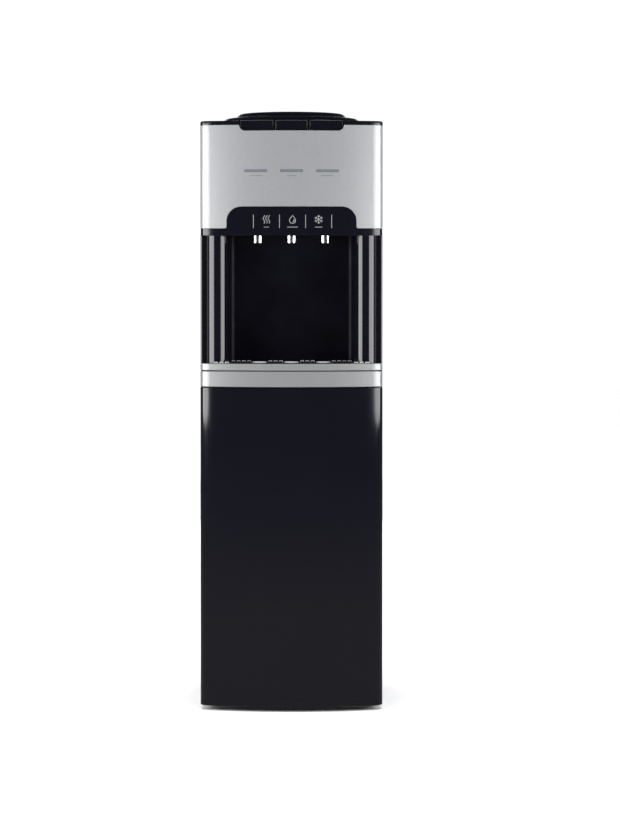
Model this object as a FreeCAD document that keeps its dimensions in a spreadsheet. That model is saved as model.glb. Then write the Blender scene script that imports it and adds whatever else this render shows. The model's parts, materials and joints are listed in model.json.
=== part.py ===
import FreeCAD, Part
import math
import os
from types import SimpleNamespace

import Sketcher
from FreeCAD import Placement, Rotation, Vector

# Floor-standing hot, room-temperature and cold water dispenser.
# Millimetres. +Z is up, the front faces -Y, +X is to the right of a person facing it.
# The origin is on the floor, in the middle of the overall footprint.

SIZES = [
    ("body_width", 310, "over the side panels"),
    ("front_reach", 175, "origin to the middle of the bowed front"),
    ("rear_reach", 175, "origin to the rearmost condenser wire"),
    ("bow_radius", 500, "plan radius of the bowed front"),
    ("corner_radius", 18, "plan radius where the front meets the sides"),
    ("seam_y", -120.5, "rear edge of every moulded front piece"),
    ("side_front_y", -117, "front edge of the side panels"),
    ("rear_panel_y", 149, "inner face of the rear panel"),
    ("shell_wall", 2.5, "moulded walls"),
    ("sheet_wall", 1.5, "steel sheet"),
    ("foot_height", 8, "floor to the base and to the door's lower edge"),
    ("door_top", 548.4, "door's upper edge"),
    ("band_low", 550.3, "silver band under the tray"),
    ("band_high", 576.6, ""),
    ("tray_low", 578.2, "drip tray's front"),
    ("tray_high", 589.7, ""),
    ("lip_low", 806.7, "lower lip of the control fascia"),
    ("panel_low", 818.5, "lower edge of the upper front panel"),
    ("arch_top", 855.2, "top of the arched fascia"),
    ("arch_half", 110, "half width of the arched fascia"),
    ("arch_radius", 25, ""),
    ("panel_high", 992.6, "upper edge of the upper front panel"),
    ("deck_high", 1000, "upper face of the top cover"),
    ("flange_high", 1011, "collar flange"),
    ("collar_high", 1019.5, "collar rim, the highest point"),
    ("flange_radius", 120, ""),
    ("collar_radius", 95.5, ""),
    ("well_radius", 82, "bore that takes the bottle's shoulder"),
    ("probe_radius", 11, "feed probe that enters the bottle's cap"),
    ("recess_half", 88.5, "half width of the key recess"),
    ("recess_low", 982.8, ""),
    ("key_top", 1000.5, ""),
    ("key_shaft_y", -122, ""),
    ("key_shaft_z", 990, ""),
    ("shaft_radius", 2.5, "key shaft"),
    ("plunger_y", -150, "line of the plungers under the keys"),
    ("plunger_radius", 2.5, ""),
    ("tap_spacing", 58, "between neighbouring taps"),
    ("nozzle_y", -115, ""),
    ("nozzle_low", 794, ""),
    ("nozzle_radius", 9.5, ""),
    ("lens_spacing", 60.5, "between neighbouring indicator windows"),
    ("lens_z", 915.2, ""),
    ("lens_length", 38, ""),
    ("lens_height", 4.2, ""),
    ("pillar_y", -146, "front of the half-round columns beside the alcove"),
    ("column_radius", 16.9, "columns beside the alcove"),
    ("alcove_back_y", -62, ""),
    ("alcove_half_front", 109.8, "half width of the alcove at its mouth"),
    ("alcove_half_back", 106, "half width of the alcove at its back"),
    ("slot_pitch", 9.15, "between neighbouring grille slots"),
    ("hinge_x", 150.5, "door hinge axis"),
    ("hinge_y", -124.5, ""),
    ("hinge_pin_radius", 2, ""),
    ("cold_tank_radius", 72, ""),
    ("hot_tank_radius", 50, ""),
    ("hot_tank_y", 60, ""),
    ("compressor_radius", 55, ""),
    ("condenser_half", 100, "half width of the condenser's straight runs"),
    ("condenser_top", 870, ""),
    ("condenser_pitch", 45, "between neighbouring runs"),
    ("tube_radius", 2.5, "condenser tube"),
    ("wire_radius", 0.8, "condenser wires"),
]

RUNNING_GAP = 0.05
KEY_GAP = 3.8
COIL_STEPS = 6
DOOR_LIP = 2.5


class Size:
    """A number together with the spreadsheet expression that gives it."""

    def __init__(self, number, text):
        self.number = float(number)
        self.text = text

    @staticmethod
    def of(value):
        return value if isinstance(value, Size) else Size(value, f"({float(value)})")

    def combine(self, other, sign, number):
        return Size(number, f"({self.text} {sign} {Size.of(other).text})")

    def __add__(self, other):
        return self.combine(other, "+", self.number + float(other))

    def __sub__(self, other):
        return self.combine(other, "-", self.number - float(other))

    def __mul__(self, other):
        return self.combine(other, "*", self.number * float(other))

    def __truediv__(self, other):
        return self.combine(other, "/", self.number / float(other))

    def __radd__(self, other):
        return Size.of(other) + self

    def __rsub__(self, other):
        return Size.of(other) - self

    def __rmul__(self, other):
        return Size.of(other) * self

    def __neg__(self):
        return Size.of(0) - self

    def __float__(self):
        return self.number


def make_sheet():
    """Write the driving dimensions and return them as named Size values."""
    sheet = doc.addObject("Spreadsheet::Sheet", "Sizes")
    named = SimpleNamespace()
    for row, (alias, value, meaning) in enumerate(SIZES, 1):
        sheet.set(f"A{row}", alias)
        sheet.set(f"B{row}", str(value))
        sheet.set(f"C{row}", meaning)
        sheet.setAlias(f"B{row}", alias)
        setattr(named, alias, Size(value, f"Sizes.{alias}"))
    doc.recompute()
    return named


doc = FreeCAD.newDocument("WaterDispenser")
S = make_sheet()
HALF_WIDTH = S.body_width / 2
BOW_CENTRE_Y = S.bow_radius - S.front_reach
TAPS = [("hot", -S.tap_spacing), ("room", Size.of(0)), ("cold", S.tap_spacing)]
NODES = []

# Places and sizes that several pieces share.
PAN_FRONT_Y = S.side_front_y + 2.2
PAN_HALF = HALF_WIDTH - S.sheet_wall - 0.5
SEAT_LEDGE = 76
PROBE_FOOT = 13.9
FRAME_TOP = 961
KEY_DEPTH = 3.1
GRILLE_WIDE = Size.of(138)
GRILLE_DEEP = Size.of(104)
RIM_WALL = 5.0
GRIP_Z = (380, 470)
JACKET_RADIUS = S.cold_tank_radius + 23
TANK_LOW = 838
SHELF_HALF = 138
COMPRESSOR = (-10, 85)
CONDENSER_Y = S.rear_reach - S.wire_radius * 2 - S.tube_radius
RUNS = 15
SWITCH_X = -90
SWITCH_Z = 930
KNOB_X = 90
DRAIN_X = 132
DRAIN_Z = 575
GLAND_X = -132
GLAND_Z = 240
ROCKER_Y = 144
ROCKER_RADIUS = 13.2

# ---------------------------------------------------------------- helpers

ALONG = {
    "x": Rotation(Vector(0, 1, 0), 90),
    "y": Rotation(Vector(1, 0, 0), -90),
    "z": Rotation(),
}


def node(item, name):
    """Name a finished sub-part and remember it for the checks and the export."""
    item.Label = name
    NODES.append(item)
    return item


def place(item, x, y, z, rotation=None):
    if rotation is not None:
        item.Placement = Placement(Vector(), rotation)
    for axis, value in zip("xyz", (x, y, z)):
        item.setExpression(f"Placement.Base.{axis}", Size.of(value).text)
    return item


def box(x, y, z):
    """Box between a low and a high value along each axis."""
    item = doc.addObject("Part::Box", "Block")
    for length, (low, high) in (("Length", x), ("Width", y), ("Height", z)):
        item.setExpression(length, (Size.of(high) - low).text)
    return place(item, x[0], y[0], z[0])


def rod(axis, start, radius, length):
    """Round bar that runs from its start along +x, +y or +z."""
    item = doc.addObject("Part::Cylinder", "Rod")
    item.setExpression("Radius", Size.of(radius).text)
    item.setExpression("Height", Size.of(length).text)
    return place(item, *start, rotation=ALONG[axis])


def fuse(*items):
    item = doc.addObject("Part::MultiFuse", "Fuse")
    item.Shapes = list(items)
    return item


def cut(base, *tools):
    item = doc.addObject("Part::Cut", "Cut")
    item.Base = base
    item.Tool = tools[0] if len(tools) == 1 else fuse(*tools)
    return item


def common(first, second):
    item = doc.addObject("Part::Common", "Common")
    item.Base = first
    item.Tool = second
    return item


def group(*items):
    item = doc.addObject("Part::Compound", "Group")
    item.Links = list(items)
    return item


def tube(axis, start, outer, inner, length):
    return cut(rod(axis, start, outer, length), rod(axis, start, inner, length))


def mirrored_pair(low, high):
    """The same span on the left and on the right of the middle plane."""
    return [(low, high), (-Size.of(high), -Size.of(low))]


def origin_plane(body, role):
    return next(item for item in body.Origin.OriginFeatures if item.Role == role)


def new_sketch(body, role="XY_Plane", offset=0):
    sketch = body.newObject("Sketcher::SketchObject", "Sketch")
    sketch.AttachmentSupport = [(origin_plane(body, role), "")]
    sketch.MapMode = "FlatFace"
    sketch.setExpression("AttachmentOffset.Base.z", Size.of(offset).text)
    return sketch


def dimension(sketch, kind, size, *where):
    index = sketch.addConstraint(Sketcher.Constraint(kind, *where, float(size)))
    sketch.setExpression(f"Constraints[{index}]", Size.of(size).text)


def line(sketch, start, end):
    segment = Part.LineSegment(Vector(*map(float, start), 0), Vector(*map(float, end), 0))
    return sketch.addGeometry(segment, False)


def join(sketch, first, second, kind="Coincident"):
    """Tie the end of one line or arc to the start of the next."""
    sketch.addConstraint(Sketcher.Constraint(kind, first, 2, second, 1))


def fix_point(sketch, geometry, point, x, y):
    dimension(sketch, "DistanceX", x, -1, 1, geometry, point)
    dimension(sketch, "DistanceY", y, -1, 1, geometry, point)


def polygon(sketch, points):
    """Closed outline of straight sides with every corner tied to the spreadsheet."""
    sides = [line(sketch, a, b) for a, b in zip(points, points[1:] + points[:1])]
    for side, following, (x, y) in zip(sides, sides[1:] + sides[:1], points):
        join(sketch, side, following)
        fix_point(sketch, side, 1, x, y)
    return sides


def rectangle(sketch, x, y):
    return polygon(sketch, [(x[0], y[0]), (x[1], y[0]), (x[1], y[1]), (x[0], y[1])])


def circle(sketch, x, y, radius):
    shape = Part.Circle(Vector(float(x), float(y), 0), Vector(0, 0, 1), float(radius))
    index = sketch.addGeometry(shape, False)
    dimension(sketch, "Radius", radius, index)
    fix_point(sketch, index, 3, x, y)


def arc(sketch, centre, radius, first, last):
    shape = Part.Circle(Vector(*centre, 0), Vector(0, 0, 1), radius)
    return sketch.addGeometry(Part.ArcOfCircle(shape, first, last), False)


def u_outline(sketch, half, closed, opened, radius):
    """Upright slot outline: two sides, a level end at the closed height, rounded corners."""
    sense = 1 if float(closed) > float(opened) else -1
    half = Size.of(half)
    bend = float(closed) - sense * float(radius)
    middle = sense * (float(half) - float(radius))
    turn = 0.0 if sense > 0 else math.pi
    quarter = math.pi / 2
    x = sense * float(half)
    rise = line(sketch, (x, opened), (x, bend))
    first = arc(sketch, (middle, bend), float(radius), turn, turn + quarter)
    level = line(sketch, (middle, closed), (-middle, closed))
    second = arc(sketch, (-middle, bend), float(radius), turn + quarter, turn + 2 * quarter)
    fall = line(sketch, (-x, bend), (-x, opened))
    path = [rise, first, level, second, fall]
    for before, after in zip(path, path[1:]):
        join(sketch, before, after, "Tangent")
    sketch.addConstraint(Sketcher.Constraint("Vertical", rise))
    sketch.addConstraint(Sketcher.Constraint("Vertical", fall))
    sketch.addConstraint(Sketcher.Constraint("Horizontal", level))
    dimension(sketch, "Radius", radius, first)
    dimension(sketch, "Radius", radius, second)
    dimension(sketch, "DistanceY", closed, -1, 1, level, 1)
    fix_point(sketch, rise, 1, half * sense, opened)
    fix_point(sketch, fall, 2, half * -sense, opened)
    end = line(sketch, (-x, opened), (x, opened))
    join(sketch, fall, end)
    join(sketch, end, rise)


def bow_path(sketch, back, inset=0.0):
    """Left side, left corner, bowed front, right corner and right side, in that order."""
    bow = float(S.bow_radius) - inset
    corner = float(S.corner_radius) - inset
    corner_x = float(HALF_WIDTH - S.corner_radius)
    middle_y = float(BOW_CENTRE_Y)
    corner_y = middle_y - math.sqrt((bow - corner) ** 2 - corner_x ** 2)
    tilt = math.atan2(middle_y - corner_y, corner_x)
    side_x = corner_x + corner
    left = line(sketch, (-side_x, back), (-side_x, corner_y))
    left_corner = arc(sketch, (-corner_x, corner_y), corner, math.pi, math.pi + tilt)
    front = arc(sketch, (0.0, middle_y), bow, math.pi + tilt, 2 * math.pi - tilt)
    right_corner = arc(sketch, (corner_x, corner_y), corner, 2 * math.pi - tilt, 2 * math.pi)
    right = line(sketch, (side_x, corner_y), (side_x, back))
    path = [left, left_corner, front, right_corner, right]
    for first, second in zip(path, path[1:]):
        join(sketch, first, second, "Tangent")
    for side in (left, right):
        sketch.addConstraint(Sketcher.Constraint("Vertical", side))
    dimension(sketch, "Radius", S.bow_radius - inset, front)
    dimension(sketch, "DistanceY", Size.of(back), -1, 1, left, 1)
    dimension(sketch, "DistanceY", Size.of(back), -1, 1, right, 2)
    return path


def bow_outline(sketch, back, inset=0.0):
    """Closed plan outline: the bowed path and a straight rear edge."""
    path = bow_path(sketch, back, inset)
    left, left_corner, front, right_corner, right = path
    fix_point(sketch, front, 3, 0, BOW_CENTRE_Y)
    dimension(sketch, "Radius", S.corner_radius - inset, left_corner)
    dimension(sketch, "Radius", S.corner_radius - inset, right_corner)
    dimension(sketch, "DistanceX", -(HALF_WIDTH - inset), -1, 1, left, 1)
    dimension(sketch, "DistanceX", HALF_WIDTH - inset, -1, 1, right, 2)
    half = float(HALF_WIDTH) - inset
    rear = line(sketch, (half, back), (-half, back))
    join(sketch, right, rear)
    join(sketch, rear, left)
    return path


def pad(body, sketch, length):
    feature = body.newObject("PartDesign::Pad", "Pad")
    feature.Profile = sketch
    feature.setExpression("Length", Size.of(length).text)
    return feature


def pocket(body, sketch, length, upwards=False):
    feature = body.newObject("PartDesign::Pocket", "Pocket")
    feature.Profile = sketch
    feature.Reversed = upwards
    feature.setExpression("Length", Size.of(length).text)
    return feature


def pocket_through(body, sketch):
    feature = body.newObject("PartDesign::Pocket", "Pocket")
    feature.Profile = sketch
    feature.Type = "ThroughAll"
    feature.Midplane = True
    return feature


def fillet(body, feature, radius, wanted):
    """Round every edge whose middle the wanted test accepts."""
    doc.recompute()
    names = []
    for index, edge in enumerate(feature.Shape.Edges, 1):
        middle = edge.valueAt((edge.FirstParameter + edge.LastParameter) / 2)
        if wanted(edge, middle):
            names.append(f"Edge{index}")
    item = body.newObject("PartDesign::Fillet", "Fillet")
    item.Base = (feature, names)
    item.setExpression("Radius", Size.of(radius).text)
    return item


def upright(edge, x, y):
    """True for a vertical edge at plan position x, y on either side of the middle."""
    ends = [vertex.Point for vertex in edge.Vertexes]
    level = abs(ends[0].x - ends[-1].x) < 0.01 and abs(ends[0].y - ends[-1].y) < 0.01
    near = abs(abs(ends[0].x) - float(x)) < 0.05 and abs(ends[0].y - float(y)) < 0.05
    return level and near


def front_shell(low, high, wall, inset=0.0):
    """Bowed front with rounded corners and short side returns, open behind."""
    body = doc.addObject("PartDesign::Body", "FrontShell")
    solid = new_sketch(body, offset=low)
    bow_outline(solid, S.seam_y.number, inset)
    pad(body, solid, high - low)
    hollow = new_sketch(body, offset=low)
    bow_outline(hollow, S.seam_y.number + 1, inset + wall)
    pocket(body, hollow, high - low, upwards=True)
    return body


def revolved(points, x=0, y=0):
    """Solid turned about a vertical axis, from (radius, height) corners."""
    body = doc.addObject("PartDesign::Body", "Turned")
    sketch = new_sketch(body, "XZ_Plane")
    polygon(sketch, points)
    feature = body.newObject("PartDesign::Revolution", "Revolution")
    feature.Profile = sketch
    feature.ReferenceAxis = (sketch, ["V_Axis"])
    feature.Angle = 360
    return place(body, x, y, 0)


def route_wire(points, bend):
    """Straight runs joined by tangent arcs of one bend radius."""
    points = [Vector(*map(float, point)) for point in points]
    edges = []
    start = points[0]
    for before, corner, after in zip(points, points[1:], points[2:]):
        inward = (corner - before).normalize()
        outward = (after - corner).normalize()
        turn = inward.getAngle(outward)
        reach = bend * math.tan(turn / 2)
        first = corner - inward * reach
        last = corner + outward * reach
        inside = (outward - inward).normalize()
        centre = corner + inside * (bend / math.cos(turn / 2))
        middle = centre - inside * bend
        if (first - start).Length > 0.01:
            edges.append(Part.makeLine(start, first))
        edges.append(Part.Arc(first, middle, last).toShape())
        start = last
    edges.append(Part.makeLine(start, points[-1]))
    return Part.Wire(edges)


def pipe(points, radius, bend):
    """Round pipe along a routed wire."""
    wire = route_wire(points, bend)
    first = wire.Edges[0]
    heading = first.tangentAt(first.FirstParameter)
    section = Part.Wire(Part.makeCircle(float(radius), first.valueAt(first.FirstParameter), heading))
    item = doc.addObject("Part::Feature", "Pipe")
    item.Shape = wire.makePipeShell([section], True, False)
    return item


def coil(radius, wire_radius, pitch, turns, x, y, z):
    """Round wire wound upwards: six tangent arcs a turn around an upright axis."""
    radius = float(radius)
    corner = radius / math.cos(math.pi / COIL_STEPS)
    points = []
    for step in range(turns * COIL_STEPS + 1):
        angle = 2 * math.pi * step / COIL_STEPS
        points.append(Vector(corner * math.cos(angle), corner * math.sin(angle),
                             pitch * step / COIL_STEPS))
    points[0] = (points[0] + points[1]) / 2
    points[-1] = (points[-1] + points[-2]) / 2
    return place(pipe(points, wire_radius, radius * 0.97), x, y, z)


# ---------------------------------------------------------------- frame and panels


def make_base():
    """Pressed pan with upturned edges, on four round feet."""
    wall = S.sheet_wall
    low = S.foot_height
    rear = S.rear_panel_y - wall - 0.2
    outer = box((-PAN_HALF, PAN_HALF), (PAN_FRONT_Y, rear), (low, low + 18))
    inner = box((-PAN_HALF + wall, PAN_HALF - wall), (PAN_FRONT_Y + wall, rear - wall),
                (low + wall, low + 20))
    node(cut(outer, inner), "base_plate")
    feet = [rod("z", (x, y, 0), 18, S.foot_height) for x in (-125, 125) for y in (-88, 125)]
    node(group(*feet), "feet")


def make_side_panel(name, side):
    """Folded sheet: the side wall and a flange that the rear panel is screwed to."""
    body = doc.addObject("PartDesign::Body", name)
    sketch = new_sketch(body, offset=S.foot_height)
    wall = S.sheet_wall
    rear = S.rear_panel_y
    outline = [
        (HALF_WIDTH, S.side_front_y), (HALF_WIDTH, rear), (HALF_WIDTH - 14, rear),
        (HALF_WIDTH - 14, rear - wall), (HALF_WIDTH - wall, rear - wall),
        (HALF_WIDTH - wall, S.side_front_y),
    ]
    if side < 0:
        outline = [(-x, y) for x, y in reversed(outline)]
    polygon(sketch, outline)
    pad(body, sketch, S.panel_high - S.foot_height)
    node(body, name)


def make_rear_panel():
    """Sheet with louvre slots and the openings for switches, knob, drain and cord gland."""
    body = doc.addObject("PartDesign::Body", "rear_panel")
    sheet = new_sketch(body, "XZ_Plane", -S.rear_panel_y)
    half = HALF_WIDTH - 2
    rectangle(sheet, (-half, half), (205, S.panel_high - 0.6))
    pad(body, sheet, 1.2).Reversed = True
    slots = new_sketch(body, "XZ_Plane")
    for middle in (-80, 0, 80):
        rectangle(slots, (middle - 30, middle + 30), (640, 645))
    row = pocket_through(body, slots)
    doc.recompute()
    louvres = body.newObject("PartDesign::LinearPattern", "Louvres")
    louvres.Originals = [row]
    louvres.Direction = (slots, ["V_Axis"])
    louvres.Length = 126
    louvres.Occurrences = 10
    body.Tip = louvres
    openings = new_sketch(body, "XZ_Plane")
    rectangle(openings, (SWITCH_X - 28.5, SWITCH_X + 28.5), (SWITCH_Z - 22.5, SWITCH_Z + 22.5))
    circle(openings, KNOB_X, SWITCH_Z, 6)
    circle(openings, DRAIN_X, DRAIN_Z, 7.5)
    circle(openings, GLAND_X, GLAND_Z, 8.1)
    pocket_through(body, openings)
    node(body, "rear_panel")
    heads = [rod("y", (x, S.rear_panel_y + 1.2, z), 4, 2.2)
             for x in (-147, 147) for z in (230, 480, 730, 960)]
    node(group(*heads), "panel_screws")


def make_top_cover():
    """Moulded deck with a skirt, the collar's hole and the recess for the keys."""
    body = doc.addObject("PartDesign::Body", "top_cover")
    rear = S.rear_panel_y.number + 1.2
    plate = new_sketch(body, offset=S.panel_high)
    bow_outline(plate, rear)
    slab = pad(body, plate, S.deck_high - S.panel_high)
    fillet(body, slab, 3, lambda edge, at: abs(at.z - float(S.deck_high)) < 0.05
           and at.y < rear - 1)
    hollow = new_sketch(body, offset=S.panel_high)
    bow_outline(hollow, rear - 3, 3.0)
    pocket(body, hollow, S.deck_high - S.panel_high - 2.4, upwards=True)
    well = new_sketch(body)
    circle(well, 0, 0, S.flange_radius - 19)
    pocket_through(body, well)
    recess = new_sketch(body)
    rectangle(recess, (-S.recess_half, S.recess_half), (-200, S.key_shaft_y - 6.5))
    pocket_through(body, recess)
    node(body, "top_cover")


# ---------------------------------------------------------------- bottle collar and seat


def make_collar():
    """Fixed flange and rim, with a ledge inside that carries the bottle seat."""
    top = S.collar_high
    outer = S.collar_radius
    flange = S.flange_radius
    deck = S.deck_high
    body = revolved([
        (SEAT_LEDGE, deck - 10), (flange - 20, deck - 10), (flange - 20, deck), (flange, deck),
        (flange, S.flange_high), (outer, S.flange_high), (outer, top), (S.well_radius + 2, top),
        (S.well_radius, top - 2), (S.well_radius, deck), (SEAT_LEDGE, deck),
    ])
    rounded = ((float(flange), float(S.flange_high)), (float(outer), float(top)))
    fillet(body, body.Tip, 6.5, lambda edge, at: any(
        abs(math.hypot(at.x, at.y) - radius) < 0.05 and abs(at.z - height) < 0.05
        for radius, height in rounded))
    node(body, "bottle_collar")


def make_seat():
    """Lift-out funnel with the hollow feed probe at its middle."""
    rim = S.well_radius - 0.5
    ledge = S.deck_high + 0.3
    floor = S.deck_high - 32
    node(revolved([
        (rim, ledge), (rim, ledge + 11.7), (rim - 2.5, ledge + 11.7), (rim - 2.5, ledge + 3.7),
        (rim - 7, ledge + 1.2),
        (26, floor), (14, floor), (14, floor - 2.5), (27, floor - 2.5), (rim - 5.9, ledge),
    ]), "bottle_seat")
    probe = revolved([
        (6, floor - 8), (PROBE_FOOT, floor - 8), (PROBE_FOOT, floor + 2),
        (S.probe_radius, floor + 2), (S.probe_radius, floor + 28), (8, floor + 33),
        (6, floor + 33),
    ])
    ports = [box((-20, 20), (-3, 3), (floor + 16, floor + 25)),
             box((-3, 3), (-20, 20), (floor + 16, floor + 25))]
    node(cut(probe, *ports), "feed_probe")


# ---------------------------------------------------------------- front mouldings

def make_upper_front_panel():
    """Silver shell with the key recess, the arch and three indicator windows."""
    body = front_shell(S.panel_low, S.panel_high, S.shell_wall.number)
    arch = new_sketch(body, "XZ_Plane")
    u_outline(arch, S.arch_half, S.arch_top, S.panel_low - 5, S.arch_radius)
    opened = pocket_through(body, arch)
    fillet(body, opened, 3, lambda edge, at: abs(abs(at.x) - float(S.arch_half)) < 0.05
           and abs(at.z - float(S.panel_low)) < 0.05)
    recess = new_sketch(body, "XZ_Plane")
    u_outline(recess, S.recess_half, S.recess_low, S.panel_high + 5, 10)
    pocket_through(body, recess)
    windows = new_sketch(body, "XZ_Plane")
    half = S.lens_length / 2 + 0.2
    tall = S.lens_height / 2 + 0.2
    for middle in (-S.lens_spacing, Size.of(0), S.lens_spacing):
        rectangle(windows, (middle - half, middle + half), (S.lens_z - tall, S.lens_z + tall))
    pocket_through(body, windows)
    node(body, "upper_front_panel")


def bow_cylinder(inset):
    """Upright cylinder whose front follows the bowed front at the given depth."""
    return rod("z", (0, BOW_CENTRE_Y, 0), S.bow_radius - inset, 1100)


def make_indicators():
    """Three windows flush with the panel and the lamp board behind them."""
    half = S.lens_length / 2
    tall = S.lens_height / 2
    middles = (-S.lens_spacing, Size.of(0), S.lens_spacing)
    bars = [box((middle - half, middle + half), (-S.front_reach, -S.front_reach + 20),
                (S.lens_z - tall, S.lens_z + tall)) for middle in middles]
    lenses = cut(common(fuse(*bars), bow_cylinder(0.3)), bow_cylinder(2.5))
    node(lenses, "indicator_lenses")
    board = box((-86, 86), (-160, -158.4), (S.lens_z - 14, S.lens_z + 14))
    lamps = [box((middle - 3, middle + 3), (-163, -160), (S.lens_z - 2, S.lens_z + 2))
             for middle in middles]
    node(fuse(board, *lamps), "indicator_board")


def make_fascia():
    """Black arch over a full-width lip, a little behind the silver panel's face."""
    gap = 0.3
    lip = front_shell(S.lip_low, S.panel_low - gap, 3.0, 0.6)
    whole = front_shell(S.lip_low, S.arch_top - gap, 3.0, 0.6)
    arch = doc.addObject("PartDesign::Body", "Arch")
    outline = new_sketch(arch, "XZ_Plane")
    u_outline(outline, S.arch_half - gap, S.arch_top - gap, S.lip_low, S.arch_radius - gap)
    pad(arch, outline, 400).Midplane = True
    node(fuse(lip, common(whole, arch)), "control_fascia")


def make_lower_band():
    node(front_shell(S.band_low, S.band_high, S.shell_wall.number), "lower_band")


# ---------------------------------------------------------------- keys, plungers and taps


def make_key_frame():
    """Channel behind the panel that holds the key shaft and guides the plungers."""
    half = S.recess_half + 3.5
    shaft_y = S.key_shaft_y
    floor = box((-half, half), (-163, shaft_y + 12), (FRAME_TOP - 3, FRAME_TOP))
    ears = [box(span, (shaft_y - 16, shaft_y + 12), (FRAME_TOP, S.key_shaft_z + 6))
            for span in mirrored_pair(half - 2.5, half)]
    ribs = [box(span, (shaft_y - 34, shaft_y + 12), (FRAME_TOP, S.key_shaft_z + 6))
            for span in mirrored_pair(28.1, 29.3)]
    guides = [rod("z", (x, S.plunger_y, 900), S.plunger_radius + 0.3, 100) for _, x in TAPS]
    bore = rod("x", (-half - 1, shaft_y, S.key_shaft_z), S.shaft_radius, half * 2 + 2)
    node(cut(fuse(floor, *ears, *ribs), *guides, bore), "key_frame")
    node(rod("x", (-half, shaft_y, S.key_shaft_z), S.shaft_radius, half * 2), "key_shaft")


def make_key(name, low, high):
    """Hollow cap with a hinge block behind it, turning on the shared shaft."""
    front = -S.front_reach
    top = S.key_top
    shaft_y = S.key_shaft_y
    cap = box((low, high), (front, shaft_y - 8), (976, top))
    inside = box((low + 1.8, high - 1.8), (front, shaft_y), (970, top - 2.8))
    hollow = common(inside, bow_cylinder(KEY_DEPTH + 2.4))
    web = box((low + 8, high - 8), (shaft_y - 18, shaft_y - 8), (984, top - 2))
    block = box((low + 8, high - 8), (shaft_y - 9, shaft_y + 5), (984, S.key_shaft_z + 6))
    bore = rod("x", (low, shaft_y, S.key_shaft_z), S.shaft_radius + RUNNING_GAP, high - low)
    curved = common(cut(cap, hollow), bow_cylinder(KEY_DEPTH))
    node(cut(fuse(curved, web, block), bore), name)


def make_tap(name, x):
    """A key's return spring and the plunger that reaches down to the tap valve."""
    node(coil(4.2, 0.5, 5.8, 6, x, S.plunger_y, FRAME_TOP + 0.8), f"{name}_key_spring")
    top = S.key_top - 3.9
    node(rod("z", (x, S.plunger_y, 835), S.plunger_radius, top - 835), f"{name}_plunger")


def make_tap_bodies():
    """Valve blocks behind the fascia and the chrome nozzles under them."""
    blocks = []
    nozzles = []
    low = S.panel_low + 3.5
    for _, x in TAPS:
        block = box((x - 12, x + 12), (S.plunger_y - 8, S.nozzle_y + 15), (low, low + 38))
        seat = rod("z", (x, S.plunger_y, low + 8), S.plunger_radius + 0.3, 60)
        blocks.append(cut(block, seat))
        flare = doc.addObject("Part::Cone", "Flare")
        flare.setExpression("Radius1", (S.nozzle_radius - 0.6).text)
        flare.setExpression("Radius2", S.nozzle_radius.text)
        flare.setExpression("Height", (low - S.nozzle_low).text)
        place(flare, x, S.nozzle_y, S.nozzle_low)
        bore = rod("z", (x, S.nozzle_y, S.nozzle_low), 5, low - S.nozzle_low)
        nozzles.append(cut(flare, bore))
    node(group(*blocks), "tap_bodies")
    node(group(*nozzles), "tap_nozzles")


def make_keys():
    make_key_frame()
    inner = S.tap_spacing / 2 - 2.2
    outer = S.recess_half - 1.9
    make_key("hot_key", -outer, -(inner + KEY_GAP))
    make_key("room_key", -inner, inner)
    make_key("cold_key", inner + KEY_GAP, outer)
    for name, x in TAPS:
        make_tap(name, x)
    make_tap_bodies()


# ---------------------------------------------------------------- alcove, tray and grille

def make_alcove():
    """Half-round columns, side walls, back wall and ceiling of the dispensing alcove."""
    body = doc.addObject("PartDesign::Body", "alcove_liner")
    low = S.tray_high + 0.5
    high = S.lip_low - 0.5
    wall = S.shell_wall
    sketch = new_sketch(body, offset=low)
    half = HALF_WIDTH
    niche_y = S.pillar_y + 17
    column = S.alcove_half_front + 34
    right = [
        (half, S.side_front_y - 0.5), (half, niche_y), (column, niche_y), (column, S.pillar_y),
        (S.alcove_half_front, S.pillar_y), (S.alcove_half_back, S.alcove_back_y),
    ]
    behind = [
        (S.alcove_half_back + 2.2, S.alcove_back_y + wall),
        (S.alcove_half_front + 2.2, S.pillar_y + 2.2), (column - 2.2, S.pillar_y + 2.2),
        (column - 2.2, niche_y + 2.2), (half - wall, niche_y + 2.2),
        (half - wall, S.side_front_y - 0.5),
    ]
    left = [(-x, y) for x, y in reversed(right)]
    left_behind = [(-x, y) for x, y in reversed(behind)]
    polygon(sketch, right + left + left_behind + behind)
    walls = pad(body, sketch, high - low)
    for x, y, radius in (
        (S.alcove_half_front, S.pillar_y, S.column_radius),
        (column, S.pillar_y, S.column_radius),
        (behind[1][0], behind[1][1], S.column_radius - 2.2),
        (behind[2][0], behind[2][1], S.column_radius - 2.2),
        (S.alcove_half_back, S.alcove_back_y, 10),
        (behind[0][0], behind[0][1], 12.5),
        (half, niche_y, 3),
    ):
        walls = fillet(body, walls, radius, lambda edge, at, x=x, y=y: upright(edge, x, y))
    ceiling = new_sketch(body, offset=high)
    bow_outline(ceiling, float(S.alcove_back_y) + 2.5, 4.2)
    for _, x in TAPS:
        circle(ceiling, x, S.nozzle_y, S.nozzle_radius + 1.5)
    pad(body, ceiling, 2)
    node(body, "alcove_liner")


def make_tray_shelf():
    """Floor under the drip tray with an upstand that closes the alcove behind it."""
    body = doc.addObject("PartDesign::Body", "tray_shelf")
    floor = new_sketch(body, offset=S.tray_low - 4.2)
    bow_outline(floor, float(S.alcove_back_y) + 4.5, 2.9)
    pad(body, floor, 3.6)
    stand = new_sketch(body, offset=S.tray_low - 0.6)
    rectangle(stand, (-S.alcove_half_back - 9, S.alcove_half_back + 9),
              (S.alcove_back_y, S.alcove_back_y + 4.5))
    pad(body, stand, S.tray_high - S.tray_low + 0.9)
    node(body, "tray_shelf")


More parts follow.
